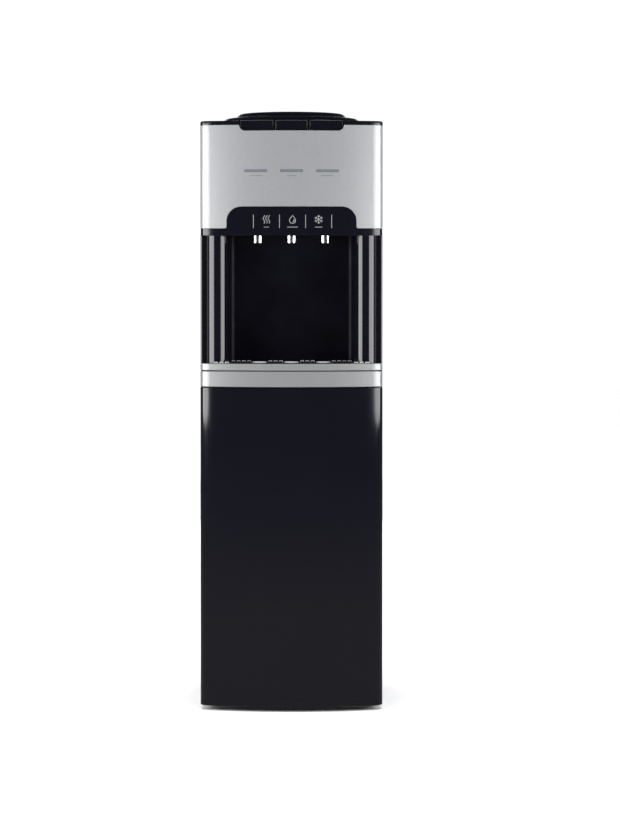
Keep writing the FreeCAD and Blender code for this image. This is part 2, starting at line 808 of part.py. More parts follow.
def tray_space(low, high, gap):
    """Space behind the tray's bowed rim: wide before the pillars, narrower in the alcove."""
    wide = box((-GRILLE_WIDE - gap, GRILLE_WIDE + gap), (-S.front_reach, S.pillar_y - 1.5 + gap),
               (low, high))
    deep = box((-GRILLE_DEEP - gap, GRILLE_DEEP + gap),
               (-S.front_reach, S.alcove_back_y - 4.4 + gap), (low, high))
    return common(fuse(wide, deep), bow_cylinder(RIM_WALL - gap))


def make_drip_tray():
    """Shallow drawer with the bowed silver front; it pulls out forwards."""
    body = doc.addObject("PartDesign::Body", "TrayBlock")
    front = new_sketch(body, offset=S.tray_low)
    bow_outline(front, S.seam_y.number)
    pad(body, front, S.tray_high - S.tray_low)
    tail = new_sketch(body, offset=S.tray_low)
    half = GRILLE_DEEP + 3
    rectangle(tail, (-half, half), (S.seam_y - 1, S.alcove_back_y - 1))
    pad(body, tail, S.tray_high - S.tray_low)
    seat = tray_space(S.tray_high - 2.2, S.tray_high + 1, 0.4)
    bowl = tray_space(S.tray_low + 2, S.tray_high, -2.2)
    node(cut(body, seat, bowl), "drip_tray")


def slot_row(body, y, reach):
    """Front-to-back slots side by side across the plate, the same number each side."""
    slots = new_sketch(body)
    first = S.slot_pitch * -reach
    rectangle(slots, (first - 2.4, first + 2.4), y)
    slot = pocket_through(body, slots)
    doc.recompute()
    comb = body.newObject("PartDesign::LinearPattern", "Comb")
    comb.Originals = [slot]
    comb.Direction = (slots, ["H_Axis"])
    comb.setExpression("Length", (S.slot_pitch * (2 * reach)).text)
    comb.Occurrences = 2 * reach + 1
    body.Tip = comb


def make_grille():
    """Slotted plate that lies on the ledge around the tray's bowl."""
    body = doc.addObject("PartDesign::Body", "GrillePlate")
    top = S.tray_high + 0.1
    plate = new_sketch(body, offset=top - 2.2)
    rear = S.alcove_back_y - 4.4
    step = S.pillar_y - 1.5
    right = [(GRILLE_WIDE, -S.front_reach), (GRILLE_WIDE, step), (GRILLE_DEEP, step),
             (GRILLE_DEEP, rear)]
    polygon(plate, right + [(-x, y) for x, y in reversed(right)])
    pad(body, plate, 2.2)
    slot_row(body, (-S.front_reach - 5, step - 3), 14)
    for row in ((-142, -120), (-116, -95), (-91, -70)):
        slot_row(body, row, 10)
    node(common(body, bow_cylinder(RIM_WALL)), "drip_grille")


# ---------------------------------------------------------------- storage cabinet and door


def make_door():
    """Bowed door shell with top and bottom lips, and the flat panel that closes it behind."""
    body = doc.addObject("PartDesign::Body", "DoorShell")
    low = S.foot_height
    solid = new_sketch(body, offset=low)
    bow_outline(solid, S.seam_y.number)
    pad(body, solid, S.door_top - low)
    hollow = new_sketch(body, offset=low + DOOR_LIP)
    bow_outline(hollow, S.seam_y.number + 1, S.shell_wall.number)
    pocket(body, hollow, S.door_top - low - 2 * DOOR_LIP, upwards=True)
    bores = new_sketch(body)
    circle(bores, S.hinge_x, S.hinge_y, S.hinge_pin_radius + RUNNING_GAP)
    pocket_through(body, bores)
    grip = box((-HALF_WIDTH - 1, -HALF_WIDTH + 6), (S.seam_y - 9, S.seam_y + 1), GRIP_Z)
    node(cut(body, grip), "cabinet_door")
    inner = box((-140, 146), (S.seam_y - 3.6, S.seam_y - 1.2),
                (low + DOOR_LIP, S.door_top - DOOR_LIP))
    node(inner, "door_inner_panel")


def make_hinges():
    """Two brackets whose pins stand in the door's top and bottom lips."""
    pin = S.hinge_pin_radius
    reach = (S.hinge_y - 4.5, S.side_front_y + 40)
    lower = box((144, HALF_WIDTH - 2), reach, (S.foot_height - 2.2, S.foot_height - 0.4))
    lower_pin = rod("z", (S.hinge_x, S.hinge_y, S.foot_height - 2), pin, 8)
    upper = box((132, HALF_WIDTH - 2), (S.hinge_y - 4.5, S.side_front_y + 12),
                (S.door_top + 0.4, S.door_top + 1.7))
    upper_pin = rod("z", (S.hinge_x, S.hinge_y, S.door_top - 7), pin, 8)
    node(group(fuse(lower, lower_pin), fuse(upper, upper_pin)), "door_hinges")


def make_cabinet_liner():
    """Open-fronted storage tub with a flange that fills the space between the side panels."""
    front = S.side_front_y
    flange = box((-HALF_WIDTH + 2, HALF_WIDTH - 2), (front, front + 2), (12, S.door_top - 0.4))
    tub = box((-138, 138), (front, 8), (55, 530))
    inside = box((-135.5, 135.5), (front - 1, 5.5), (57.5, 527.5))
    node(cut(fuse(flange, tub), inside), "cabinet_liner")
    catch = box((-150, -141), (S.seam_y - 0.8, front), (270, 320))
    node(catch, "door_catch")


# ---------------------------------------------------------------- tanks and water path


def make_cold_side():
    """Cold tank with its baffle, cooling coil and foam jacket, under the collar."""
    radius = S.cold_tank_radius
    top = S.deck_high - 13
    node(revolved([
        (0, TANK_LOW), (radius, TANK_LOW), (radius, top - 2), (radius + 18, top - 2),
        (radius + 18, top), (radius - 1, top), (radius - 1, TANK_LOW + 1), (0, TANK_LOW + 1),
    ]), "cold_tank")
    node(revolved([
        (8, 925), (radius - 1.5, 925), (radius - 1.5, 928), (10, 928), (10, 936), (8, 936),
    ]), "water_baffle")
    node(coil(radius + 3.6, 3.0, 12.0, 8, 0, 0, TANK_LOW + 8), "evaporator_coil")
    node(revolved([
        (0, 820), (JACKET_RADIUS, 820), (JACKET_RADIUS, top - 2.2), (radius + 7.5, top - 2.2),
        (radius + 7.5, TANK_LOW - 0.2), (0, TANK_LOW - 0.2),
    ]), "cold_tank_jacket")


def make_hot_side():
    """Hot tank with its band heater inside a foam jacket, behind the alcove."""
    radius = S.hot_tank_radius
    jacket = radius + 22
    node(revolved([
        (0, 604), (radius, 604), (radius, 740), (radius - 18, 756), (8, 760), (8, 768),
        (7, 768), (7, 759), (radius - 18.5, 755), (radius - 1, 739.5), (radius - 1, 605),
        (0, 605),
    ], 0, S.hot_tank_y), "hot_tank")
    band = tube("z", (0, S.hot_tank_y, 625), radius + 4, radius + 0.2, 45)
    node(band, "heater_band")
    node(revolved([
        (radius + 5, 600), (jacket, 600), (jacket, 775), (9, 775), (9, 769), (radius + 5, 769),
    ], 0, S.hot_tank_y), "hot_tank_jacket")


def make_shelves():
    """Two sheet shelves: one under each tank."""
    rear = S.rear_panel_y - S.sheet_wall
    lower = box((-SHELF_HALF, SHELF_HALF), (S.alcove_back_y + 6, rear), (596, 598))
    upper = box((-SHELF_HALF, SHELF_HALF), (-95, rear), (817.5, 819.5))
    passage = rod("z", (-110, -40, 810), 9, 20)
    node(group(lower, cut(upper, passage)), "tank_shelves")


def make_water_tubes():
    """Silicone tubes from the tanks to the three tap bodies."""
    rear = S.nozzle_y + 15
    level = 845
    hot_side = S.hot_tank_radius + 22
    cold = rod("y", (S.tap_spacing, rear, level), 5, 21)
    room = pipe([(0, -JACKET_RADIUS - 0.2, 905), (0, S.nozzle_y, 905), (0, S.nozzle_y, 860.5)],
                5, 10)
    hot = pipe([(-hot_side - 0.2, S.hot_tank_y, 765), (-110, S.hot_tank_y, 765),
                (-110, -40, 765), (-110, -40, level), (-110, S.nozzle_y, level),
                (-S.tap_spacing - 12, S.nozzle_y, level)], 5, 14)
    node(group(hot, room, cold), "water_tubes")


# ---------------------------------------------------------------- cooling circuit


def make_compressor():
    """Welded steel can on a carrier plate with rubber mounts."""
    x, y = COMPRESSOR
    radius = S.compressor_radius
    can = rod("z", (x, y, 62), radius, 72)
    domes = []
    for level in (62, 134):
        dome = doc.addObject("Part::Ellipsoid", "Dome")
        dome.Radius1 = 36
        dome.setExpression("Radius2", radius.text)
        dome.setExpression("Radius3", radius.text)
        domes.append(place(dome, x, y, level))
    carrier = box((x - 72, x + 72), (y - 52, y + 52), (24, 28))
    node(fuse(can, *domes, carrier), "compressor")
    mounts = [rod("z", (x + side, y + depth, S.foot_height + S.sheet_wall), 8, 14.5)
              for side in (-62, 62) for depth in (-44, 44)]
    node(group(*mounts), "compressor_mounts")


def make_condenser():
    """One serpentine tube between two rows of upright wires, on four stand-offs."""
    half = S.condenser_half
    pitch = float(S.condenser_pitch)
    points = [(half + 18, CONDENSER_Y, S.condenser_top)]
    for run in range(RUNS - 1):
        side = -half if run % 2 == 0 else half
        height = S.condenser_top - pitch * run
        points += [(side, CONDENSER_Y, height), (side, CONDENSER_Y, height - pitch)]
    last = S.condenser_top - pitch * (RUNS - 1)
    points += [(-half - 18, CONDENSER_Y, last), (-half - 18, CONDENSER_Y, 185),
               (-half - 18, 135, 185), (-half - 18, 135, 165)]
    node(pipe(points, S.tube_radius, 9.9), "condenser_tube")
    low = last - 12
    offset = S.tube_radius + S.wire_radius
    wires = [rod("z", (x, CONDENSER_Y + side, low), S.wire_radius, S.condenser_top - last + 24)
             for x in range(-84, 85, 12) for side in (-offset, offset)]
    node(group(*wires), "condenser_wires")
    rear = S.rear_panel_y + 1.2
    pads = [box((x - 5, x + 5), (rear, CONDENSER_Y - S.tube_radius), (z - 7, z + 7))
            for x in (-90, 90) for z in (last, S.condenser_top)]
    node(group(*pads), "condenser_brackets")


def make_circuit():
    """Filter drier and the refrigerant lines up to the cooling coil."""
    side = float(S.condenser_half) + 18
    node(rod("z", (-side, 135, 75), 9, 90), "filter_drier")
    surface = COMPRESSOR[0] + math.sqrt(float(S.compressor_radius) ** 2 - 10 ** 2) + 0.7
    far = JACKET_RADIUS + 0.3
    discharge = pipe([(surface, 95, 120), (side, 95, 120), (side, CONDENSER_Y, 120),
                      (side, CONDENSER_Y, S.condenser_top - 14)], S.tube_radius, 12)
    suction = pipe([(surface, 95, 70), (146, 95, 70), (146, 95, 900), (146, 0, 900),
                    (far, 0, 900)], 4, 14)
    capillary = pipe([(-side, 135, 75), (-side, 135, 50), (-146, 135, 50), (-146, 135, 905),
                      (-146, 0, 905), (-far, 0, 905)], 1.5, 10)
    node(group(discharge, suction, capillary), "refrigerant_lines")


# ---------------------------------------------------------------- rear controls


def make_rear_controls():
    """Rocker switches, thermostat knob, drain outlet with its cap, and the cord gland."""
    housing = box((SWITCH_X - 28, SWITCH_X + 28), (136, 153), (SWITCH_Z - 22, SWITCH_Z + 22))
    wells = []
    for name, middle in (("heater_switch", SWITCH_X - 13), ("cooling_switch", SWITCH_X + 13)):
        wells.append(box((middle - 8.8, middle + 8.8), (139.5, 160),
                         (SWITCH_Z - 13.6, SWITCH_Z + 13.6)))
        block = box((middle - 8.5, middle + 8.5), (ROCKER_Y, ROCKER_Y + 14),
                    (SWITCH_Z - 14, SWITCH_Z + 14))
        drum = rod("x", (middle - 9, ROCKER_Y, SWITCH_Z), ROCKER_RADIUS, 18)
        node(common(block, drum), name)
    node(cut(housing, *wells), "switch_housing")
    rear = S.rear_panel_y + 1.2
    grip = rod("y", (KNOB_X, rear + 0.4, SWITCH_Z), 14, 14)
    stem = rod("y", (KNOB_X, 135, SWITCH_Z), 3, 20)
    pointer = box((KNOB_X - 1.2, KNOB_X + 1.2), (rear + 14, rear + 15.4),
                  (SWITCH_Z + 3, SWITCH_Z + 13))
    node(fuse(grip, stem, pointer), "thermostat_knob")
    node(tube("y", (DRAIN_X, 130, DRAIN_Z), 7, 4, 34), "drain_spout")
    cap = rod("y", (DRAIN_X, rear + 1.8, DRAIN_Z), 10, 16)
    socket = rod("y", (DRAIN_X, rear + 1, DRAIN_Z), 7.3, 13.5)
    node(cut(cap, socket), "drain_cap")
    flange = tube("y", (GLAND_X, rear, GLAND_Z), 11, 3.8, 5)
    sleeve = tube("y", (GLAND_X, rear - 9, GLAND_Z), 8, 3.8, 14)
    node(fuse(flange, sleeve), "cord_gland")


# ---------------------------------------------------------------- build, check and export

def build():
    make_base()
    make_side_panel("left_side_panel", -1)
    make_side_panel("right_side_panel", 1)
    make_rear_panel()
    make_top_cover()
    make_collar()
    make_seat()
    make_upper_front_panel()
    make_indicators()
    make_fascia()
    make_lower_band()
    make_keys()
    make_alcove()
    make_tray_shelf()
    make_drip_tray()
    make_grille()
    make_door()
    make_hinges()
    make_cabinet_liner()
    make_cold_side()
    make_hot_side()
    make_shelves()
    make_water_tubes()
    make_compressor()
    make_condenser()
    make_circuit()
    make_rear_controls()
    doc.recompute()


def check():
    """Stop when any document object failed or any sub-part has no sound shape."""
    for item in doc.Objects:
        if "Invalid" in item.State or "Error" in item.State:
            raise RuntimeError(f"{item.Name} ({item.Label}) failed: {item.State}")
    for item in NODES:
        if item.Shape.isNull() or not item.Shape.isValid():
            raise RuntimeError(f"{item.Label} has no valid shape")


def export():
    os.makedirs("parts", exist_ok=True)
    for item in NODES:
        item.Shape.exportStep(f"parts/{item.Label}.step")
        bounds = item.Shape.BoundBox
        print(f"{item.Label:20} solids {len(item.Shape.Solids):3} volume {item.Shape.Volume:12.1f}"
              f"  x {bounds.XMin:7.1f} {bounds.XMax:7.1f}  y {bounds.YMin:7.1f} {bounds.YMax:7.1f}"
              f"  z {bounds.ZMin:7.1f} {bounds.ZMax:7.1f}")
    print(len(NODES), "sub-parts")


build()
check()
export()
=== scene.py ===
"""Looks of a floor-standing water dispenser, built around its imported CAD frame."""

import json
import math

import bmesh
import bpy
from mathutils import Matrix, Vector


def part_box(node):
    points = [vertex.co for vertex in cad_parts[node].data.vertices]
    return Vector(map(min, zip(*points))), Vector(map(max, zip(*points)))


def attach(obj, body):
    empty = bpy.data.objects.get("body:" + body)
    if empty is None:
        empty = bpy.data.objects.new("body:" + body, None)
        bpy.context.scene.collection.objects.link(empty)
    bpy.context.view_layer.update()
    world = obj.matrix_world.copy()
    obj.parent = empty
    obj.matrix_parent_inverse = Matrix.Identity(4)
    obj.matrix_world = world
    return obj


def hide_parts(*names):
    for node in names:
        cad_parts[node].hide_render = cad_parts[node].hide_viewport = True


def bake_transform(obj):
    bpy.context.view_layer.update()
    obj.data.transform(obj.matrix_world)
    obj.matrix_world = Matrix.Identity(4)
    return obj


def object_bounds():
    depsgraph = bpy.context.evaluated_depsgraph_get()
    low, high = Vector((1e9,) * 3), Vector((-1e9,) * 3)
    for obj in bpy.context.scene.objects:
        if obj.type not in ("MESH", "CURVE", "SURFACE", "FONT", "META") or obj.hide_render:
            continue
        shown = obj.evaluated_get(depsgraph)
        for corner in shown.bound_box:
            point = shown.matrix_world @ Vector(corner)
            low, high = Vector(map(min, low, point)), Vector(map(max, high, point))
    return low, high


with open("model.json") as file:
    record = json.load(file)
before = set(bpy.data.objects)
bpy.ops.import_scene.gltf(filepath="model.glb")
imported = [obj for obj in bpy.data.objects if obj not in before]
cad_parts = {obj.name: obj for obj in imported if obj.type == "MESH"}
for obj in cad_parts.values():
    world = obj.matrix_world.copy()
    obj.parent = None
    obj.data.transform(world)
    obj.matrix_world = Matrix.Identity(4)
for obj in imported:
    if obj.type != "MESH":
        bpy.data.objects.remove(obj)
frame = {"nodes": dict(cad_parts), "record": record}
cad_low, cad_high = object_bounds()

MM = 0.001
NODES = frame["nodes"]
BODY_OF = {node: body for body, nodes in frame["record"]["behaviour"]["bodies"].items()
           for node in nodes}
SLOT_OF = {part["node"]: part["material_slot"] for part in frame["record"]["subparts"]}

# The front is part of an upright cylinder; insets are measured back from it.
BOW_RADIUS = 500 * MM
BOW_CENTRE_Y = cad_low.y + BOW_RADIUS
FASCIA_INSET = 0.6 * MM
KEY_INSET = 3.1 * MM

WELD = 0.002 * MM           # points closer than this are one point
PRINT_SHIFT = 1.7 * MM      # the fascia's print stands this far right of the middle
SYMBOL_SPACING = 44 * MM
TARGETS = (-6, 0, 6)        # places of the taps, counted in pitches of the grille's arches

# Sockets of a colour Mix node, which share their names with those of its other types.
MIX_FACTOR, MIX_FIRST, MIX_LAST, MIX_COLOUR = 0, 6, 7, 2


# ---------------------------------------------------------------- materials

class Finish:
    """A Principled material whose maps all come from the piece's own coordinates."""

    def __init__(self, name):
        self.material = bpy.data.materials.new(name)
        self.material.use_nodes = True
        self.tree = self.material.node_tree
        self.shader = self.tree.nodes["Principled BSDF"]
        self.place = self.add("ShaderNodeTexCoord").outputs["Object"]

    def add(self, kind, **settings):
        made = self.tree.nodes.new(kind)
        for key, value in settings.items():
            setattr(made, key, value)
        return made

    def join(self, output, socket):
        self.tree.links.new(output, socket)

    def set(self, **values):
        """Sets plain values on the shader's own sockets."""
        for key, value in values.items():
            self.shader.inputs[key.replace("_", " ")].default_value = value
        return self

    def stretched(self, stretch):
        mapping = self.add("ShaderNodeMapping")
        mapping.inputs["Scale"].default_value = stretch
        self.join(self.place, mapping.inputs["Vector"])
        return mapping.outputs["Vector"]

    def noise(self, scale, detail=4.0, stretch=(1, 1, 1)):
        made = self.add("ShaderNodeTexNoise")
        made.inputs["Scale"].default_value = scale
        made.inputs["Detail"].default_value = detail
        self.join(self.stretched(stretch), made.inputs["Vector"])
        return made.outputs["Fac"]

    def cells(self, scale, output="Distance"):
        made = self.add("ShaderNodeTexVoronoi")
        made.inputs["Scale"].default_value = scale
        self.join(self.place, made.inputs["Vector"])
        return made.outputs[output]

    def ramp(self, source, low, high, first, last):
        """Maps source from low..high to the span first..last."""
        made = self.add("ShaderNodeMapRange")
        values = {"From Min": low, "From Max": high, "To Min": first, "To Max": last}
        for key, value in values.items():
            made.inputs[key].default_value = value
        self.join(source, made.inputs["Value"])
        return made.outputs["Result"]

    def colour(self, source, low, high, first, last):
        """Colours the surface from first to last as source goes from low to high."""
        made = self.add("ShaderNodeMix", data_type="RGBA")
        made.inputs[MIX_FIRST].default_value = (*first, 1)
        made.inputs[MIX_LAST].default_value = (*last, 1)
        self.join(self.ramp(source, low, high, 0, 1), made.inputs[MIX_FACTOR])
        self.join(made.outputs[MIX_COLOUR], self.shader.inputs["Base Color"])
        return self

    def roughness(self, source, low, high, first, last):
        self.join(self.ramp(source, low, high, first, last), self.shader.inputs["Roughness"])
        return self

    def bump(self, source, depth, strength=1.0):
        """Raises the surface by depth, in metres; later bumps add to earlier ones."""
        made = self.add("ShaderNodeBump")
        made.inputs["Distance"].default_value = depth
        made.inputs["Strength"].default_value = strength
        self.join(source, made.inputs["Height"])
        normal = self.shader.inputs["Normal"]
        if normal.is_linked:
            self.join(normal.links[0].from_socket, made.inputs["Normal"])
        self.join(made.outputs["Normal"], normal)
        return self


def grey(value):
    return (value, value, value)


def black_gloss():
    """Polished black moulding with faint orange peel, smears and fine dust."""
    made = Finish("black_gloss").set(Specular_IOR_Level=0.5)
    smear = made.noise(9, 6, (1, 1, 0.45))
    dust = made.noise(900, 2)
    made.colour(dust, 0.66, 0.80, (0.0030, 0.0030, 0.0062), (0.016, 0.016, 0.02))
    made.roughness(smear, 0.3, 0.75, 0.045, 0.12)
    made.bump(made.noise(240, 2), 0.00001)
    return made.material


def silver_paint(name, dark, light):
    """Metallic lacquer under clear coat: fine flakes and a slight drift of tone."""
    made = Finish(name).set(Metallic=0.25, Coat_Weight=1.0, Coat_Roughness=0.05)
    flakes = made.noise(1900, 2)
    made.colour(flakes, 0.34, 0.66, dark, light)
    made.roughness(made.noise(60, 5, (1, 1, 0.5)), 0.2, 0.8, 0.35, 0.38)
    made.bump(made.noise(700, 3), 0.000012)
    return made.material


def black_matte():
    made = Finish("black_matte").set(Specular_IOR_Level=0.42)
    made.colour(made.noise(120, 5), 0.35, 0.7, (0.015, 0.015, 0.017), (0.022, 0.022, 0.024))
    made.roughness(made.noise(30, 4), 0.3, 0.7, 0.42, 0.50)
    made.bump(made.noise(1600, 2), 0.00005)
    return made.material


def black_steel():
    """Powder-coated sheet: soft orange peel and scuffs."""
    made = Finish("black_steel").set(Metallic=0.15)
    made.colour(made.noise(160, 5), 0.3, 0.75, (0.014, 0.014, 0.016), (0.020, 0.020, 0.022))
    made.roughness(made.noise(70, 5, (1, 1, 0.4)), 0.3, 0.7, 0.33, 0.41)
    made.bump(made.noise(520, 3), 0.00006)
    made.bump(made.noise(60, 2), 0.00008, 0.5)
    return made.material


def black_rubber():
    made = Finish("black_rubber").set(Specular_IOR_Level=0.3)
    made.colour(made.noise(60, 6), 0.35, 0.7, (0.014, 0.014, 0.014), (0.045, 0.043, 0.041))
    made.roughness(made.noise(80, 4), 0.3, 0.7, 0.62, 0.85)
    made.bump(made.noise(900, 3), 0.00008)
    return made.material


def zinc_steel():
    """Galvanised sheet with crystal spangle."""
    made = Finish("zinc_steel").set(Metallic=0.9)
    spangle = made.cells(75, "Color")
    made.colour(spangle, 0.1, 0.9, (0.42, 0.43, 0.45), (0.66, 0.67, 0.68))
    made.roughness(made.noise(40, 5), 0.3, 0.7, 0.32, 0.52)
    made.bump(made.noise(420, 3), 0.00004)
    return made.material


def metal(name, dark, light, rough, stretch=(1, 1, 1), grain=300):
    """Bare metal whose grain follows the given stretch."""
    made = Finish(name).set(Metallic=1.0)
    lines = made.noise(grain, 4, stretch)
    made.colour(made.noise(26, 6), 0.3, 0.72, dark, light)
    made.roughness(lines, 0.3, 0.7, *rough)
    made.bump(lines, 0.00002)
    return made.material


def moulded(name, dark, light, rough, **sockets):
    """Plain moulded plastic with mottling and a fine tool texture."""
    made = Finish(name).set(**sockets)
    made.colour(made.noise(24, 6), 0.3, 0.72, dark, light)
    made.roughness(made.noise(45, 5), 0.3, 0.7, *rough)
    made.bump(made.noise(700, 3), 0.00002)
    return made.material


def foam():
    """Moulded foam: yellowish, open cells and shallow dents."""
    made = Finish("foam").set(Specular_IOR_Level=0.25, Subsurface_Weight=0.1)
    made.colour(made.noise(22, 7), 0.3, 0.72, (0.66, 0.58, 0.38), (0.84, 0.78, 0.60))
    made.roughness(made.noise(60, 3), 0.3, 0.7, 0.75, 0.92)
    made.bump(made.cells(420), 0.0004, 0.6)
    made.bump(made.noise(40, 4), 0.0012, 0.4)
    return made.material


def circuit_board():
    """Solder mask over a lattice of tracks."""
    made = Finish("board_green")
    tracks = made.add("ShaderNodeTexBrick")
    tracks.inputs["Scale"].default_value = 90
    tracks.inputs["Mortar Size"].default_value = 0.03
    made.join(made.place, tracks.inputs["Vector"])
    made.colour(tracks.outputs["Fac"], 0, 1, (0.008, 0.13, 0.045), (0.05, 0.26, 0.10))
    made.roughness(made.noise(90, 3), 0.3, 0.7, 0.25, 0.4)
    made.bump(tracks.outputs["Fac"], 0.00005)
    return made.material


def lens_window():
    """Tinted window with fine upright ribs behind its face."""
    made = Finish("lens").set(IOR=1.49)
    ribs = made.add("ShaderNodeTexWave", bands_direction="X")
    ribs.inputs["Scale"].default_value = 160
    made.join(made.place, ribs.inputs["Vector"])
    made.colour(ribs.outputs["Fac"], 0, 1, (0.105, 0.112, 0.135), (0.185, 0.195, 0.225))
    made.roughness(made.noise(120, 3), 0.3, 0.7, 0.18, 0.3)
    made.bump(ribs.outputs["Fac"], 0.00006)
    return made.material


MATERIALS = {
    "black_gloss": black_gloss(),
    "silver_plastic": silver_paint("silver_plastic", (0.275, 0.278, 0.285),
                                   (0.378, 0.382, 0.390)),
    "black_matte": black_matte(),
    "black_steel": black_steel(),
    "black_rubber": black_rubber(),
    "zinc_steel": zinc_steel(),
    "screw_steel": metal("screw_steel", grey(0.42), grey(0.62), (0.24, 0.42)),
    "chrome": metal("chrome", grey(0.50), grey(0.62), (0.08, 0.15), (1, 1, 0.05), 160),
    "stainless": metal("stainless", grey(0.50), grey(0.64), (0.22, 0.40), (0.04, 1, 8), 120),
    "copper": metal("copper", (0.62, 0.27, 0.16), (0.80, 0.40, 0.27), (0.25, 0.38)),
    "white_plastic": moulded("white_plastic", (0.72, 0.72, 0.70), (0.84, 0.84, 0.82), (0.28, 0.42)),
    "liner_grey": moulded("liner_grey", (0.46, 0.47, 0.48), (0.51, 0.52, 0.53), (0.36, 0.46)),
    "silicone": moulded("silicone", (0.68, 0.71, 0.72), (0.82, 0.85, 0.86), (0.3, 0.45),
                        Transmission_Weight=0.35),
    "red_plastic": moulded("red_plastic", (0.42, 0.008, 0.008), (0.62, 0.02, 0.018), (0.12, 0.24)),
    "green_plastic": moulded("green_plastic", (0.008, 0.24, 0.05), (0.02, 0.38, 0.10),
                             (0.12, 0.24)),
    "foam": foam(),
    "board_green": circuit_board(),
    "lens": lens_window(),
}
# Finishes of pieces that differ from their slot's usual one.
PRINT = moulded("light_print", grey(0.23), grey(0.30), (0.45, 0.6))
DIM_PRINT = moulded("dim_print", grey(0.12), grey(0.17), (0.45, 0.6))
GREY_PRINT = moulded("grey_print", grey(0.15), grey(0.20), (0.45, 0.6))
# Painted highlight: the light grey lines along the keys' rounded edges.
PAINTED_EDGE_HIGHLIGHT = moulded("painted_edge_highlight", grey(0.07), grey(0.10), (0.25, 0.35))
# Painted shade for the alcove's recessed walls: satin black, darker and less reflective than the
# gloss moulding.
SATIN_SHADED_BLACK = moulded("satin_black_painted_shade", (0.0016, 0.0016, 0.0056), (0.0042, 0.0042, 0.0096),
                      (0.36, 0.46), Specular_IOR_Level=0.12)
# Painted highlight: the grille's ribs and rings are real mouldings, but their near-white colour,
# far lighter than the silver, stands for the light their tops catch.
RIB_PAINTED_HIGHLIGHT = moulded("rib_painted_highlight", grey(0.74), grey(0.86), (0.3, 0.4))
# Painted shade: a darker copy of the silver paint, for the drip tray and lower band.
SHADED_SILVER = silver_paint("silver_painted_shade", (0.218, 0.219, 0.222), (0.300, 0.302, 0.306))


def paint(piece, material):
    """Gives a piece one material in every slot that it has."""
    if piece.material_slots:
        for spot in piece.material_slots:
            spot.material = material
    else:
        piece.data.materials.append(material)


# ---------------------------------------------------------------- mesh helpers

def new_piece(name, build, body, slot, material=None):
    """Makes a piece from a bmesh that build fills, paints it with the given material or else its
    slot's, and ties it to its body.
    """
    shape = bmesh.new()
    build(shape)
    bmesh.ops.recalc_face_normals(shape, faces=shape.faces)
    mesh = bpy.data.meshes.new(name)
    shape.to_mesh(mesh)
    shape.free()
    piece = bpy.data.objects.new(name, mesh)
    bpy.context.scene.collection.objects.link(piece)
    paint(piece, material or MATERIALS[slot])
    if body:
        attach(piece, body)
    return piece


def soften(piece, width):
    """Rounds the hard edges of a piece and keeps its flats flat under the light."""
    piece.data.polygons.foreach_set("use_smooth", [True] * len(piece.data.polygons))
    rounding = piece.modifiers.new("rounding", "BEVEL")
    rounding.width = width
    rounding.segments = 2
    rounding.limit_method = "ANGLE"
    rounding.angle_limit = math.radians(32)
    rounding.harden_normals = True
    weights = piece.modifiers.new("weights", "WEIGHTED_NORMAL")
    weights.keep_sharp = True


def welded(shape, node):
    """Fills shape with a CAD node's mesh, its faces joined at their corners."""
    shape.from_mesh(NODES[node].data)
    bmesh.ops.remove_doubles(shape, verts=shape.verts, dist=WELD)


def stitch(shape, first, second):
    """Joins two closed rings of equal length with a band of faces."""
    count = len(first)
    for a in range(count):
        b = (a + 1) % count
        shape.faces.new((first[a], first[b], second[b], second[a]))


def prism(shape, foot, top):
    """A closed block between two matching outlines."""
    lower = [shape.verts.new(point) for point in foot]
    upper = [shape.verts.new(point) for point in top]
    shape.faces.new(lower)
    shape.faces.new(upper)
    stitch(shape, lower, upper)


def refined(node, width):
    """Stands for a CAD node with the same shape, its edges rounded as moulded ones are."""

    def build(shape):
        welded(shape, node)
        bmesh.ops.dissolve_limit(shape, angle_limit=math.radians(0.4), verts=shape.verts,
                                 edges=shape.edges)

    piece = new_piece(node + "_shell", build, BODY_OF[node], SLOT_OF[node])
    for layer in ("custom_normal", "sharp_edge", "sharp_face"):
        if layer in piece.data.attributes:
            piece.data.attributes.remove(piece.data.attributes[layer])
    soften(piece, width)
    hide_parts(node)
    return piece


# Width of the rounding on each refined piece, in millimetres.
REFINED = {
    "upper_front_panel": 0.7, "control_fascia": 0.5, "lower_band": 0.9, "drip_tray": 0.8,
    "cabinet_door": 1.0, "hot_key": 0.5, "room_key": 0.5, "cold_key": 0.5, "top_cover": 0.9,
    "bottle_collar": 0.6, "alcove_liner": 0.5, "drip_grille": 0.35, "left_side_panel": 0.4,
    "right_side_panel": 0.4, "rear_panel": 0.4, "tap_nozzles": 0.3, "switch_housing": 0.4,
    "heater_switch": 0.5, "cooling_switch": 0.5, "thermostat_knob": 0.5, "feet": 0.8,
    "door_inner_panel": 0.6, "cabinet_liner": 0.8, "drain_cap": 0.4, "cord_gland": 0.4,
    "base_plate": 0.3, "bottle_seat": 0.4, "feed_probe": 0.4,
}


# ---------------------------------------------------------------- printed marks

def bow_y(x, inset):
    """How far forward the bowed front stands at x, less the inset."""
    return BOW_CENTRE_Y - math.sqrt((BOW_RADIUS - inset) ** 2 - x * x)


